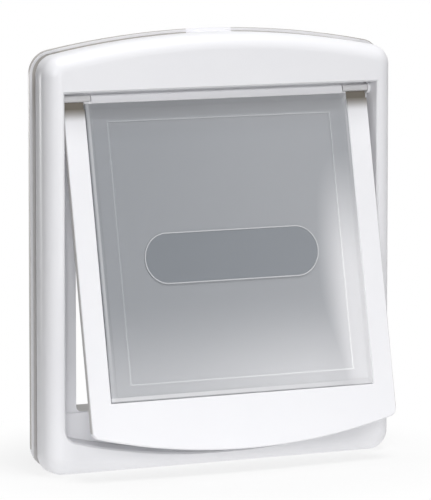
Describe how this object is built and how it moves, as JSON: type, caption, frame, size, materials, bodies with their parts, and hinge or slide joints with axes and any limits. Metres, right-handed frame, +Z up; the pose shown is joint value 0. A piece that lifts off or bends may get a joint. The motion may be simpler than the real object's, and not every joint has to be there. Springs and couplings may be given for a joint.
{
  "type": "dog door",
  "caption": "Arched white pet door for a door leaf: a framed flap that opens outwards carries a grey translucent flap that swings inwards through a tunnel.",
  "frame": {"origin": "middle of the four fixing holes, on the back face of the flange, which lies against the door", "axes": "+Y points into the door leaf, along the fixing screws; -Y is the front; +Z up; +X to the right seen from the front"},
  "size_m": [0.3076, 0.0931, 0.3403],
  "materials": {
    "white_plastic": "satin injection-moulded white",
    "grey_translucent": "smooth translucent grey",
    "zinc_steel": "zinc-plated",
    "plated_magnet": "nickel-plated"
  },
  "bodies": {
    "frame": {"front_cover": "white_plastic", "base_frame": "white_plastic", "cover_screws": "zinc_steel", "hinge_rod": "zinc_steel", "frame_magnet": "plated_magnet"},
    "outer_flap": {"flap_frame": "white_plastic", "flap_magnet": "plated_magnet"},
    "inner_flap": {"flap_panel": "grey_translucent", "hinge_rail": "white_plastic"}
  },
  "joints": [
    {"name": "outer_flap_hinge", "type": "hinge", "parent": "frame", "child": "outer_flap", "pos_m": [0, -0.0147, 0.118], "axis": [1, 0, 0], "range_deg": [-73, 11.6]},
    {"name": "inner_flap_hinge", "type": "hinge", "parent": "outer_flap", "child": "inner_flap", "pos_m": [0, -0.0147, 0.118], "axis": [1, 0, 0], "range_deg": [0, 70]}
  ]
}
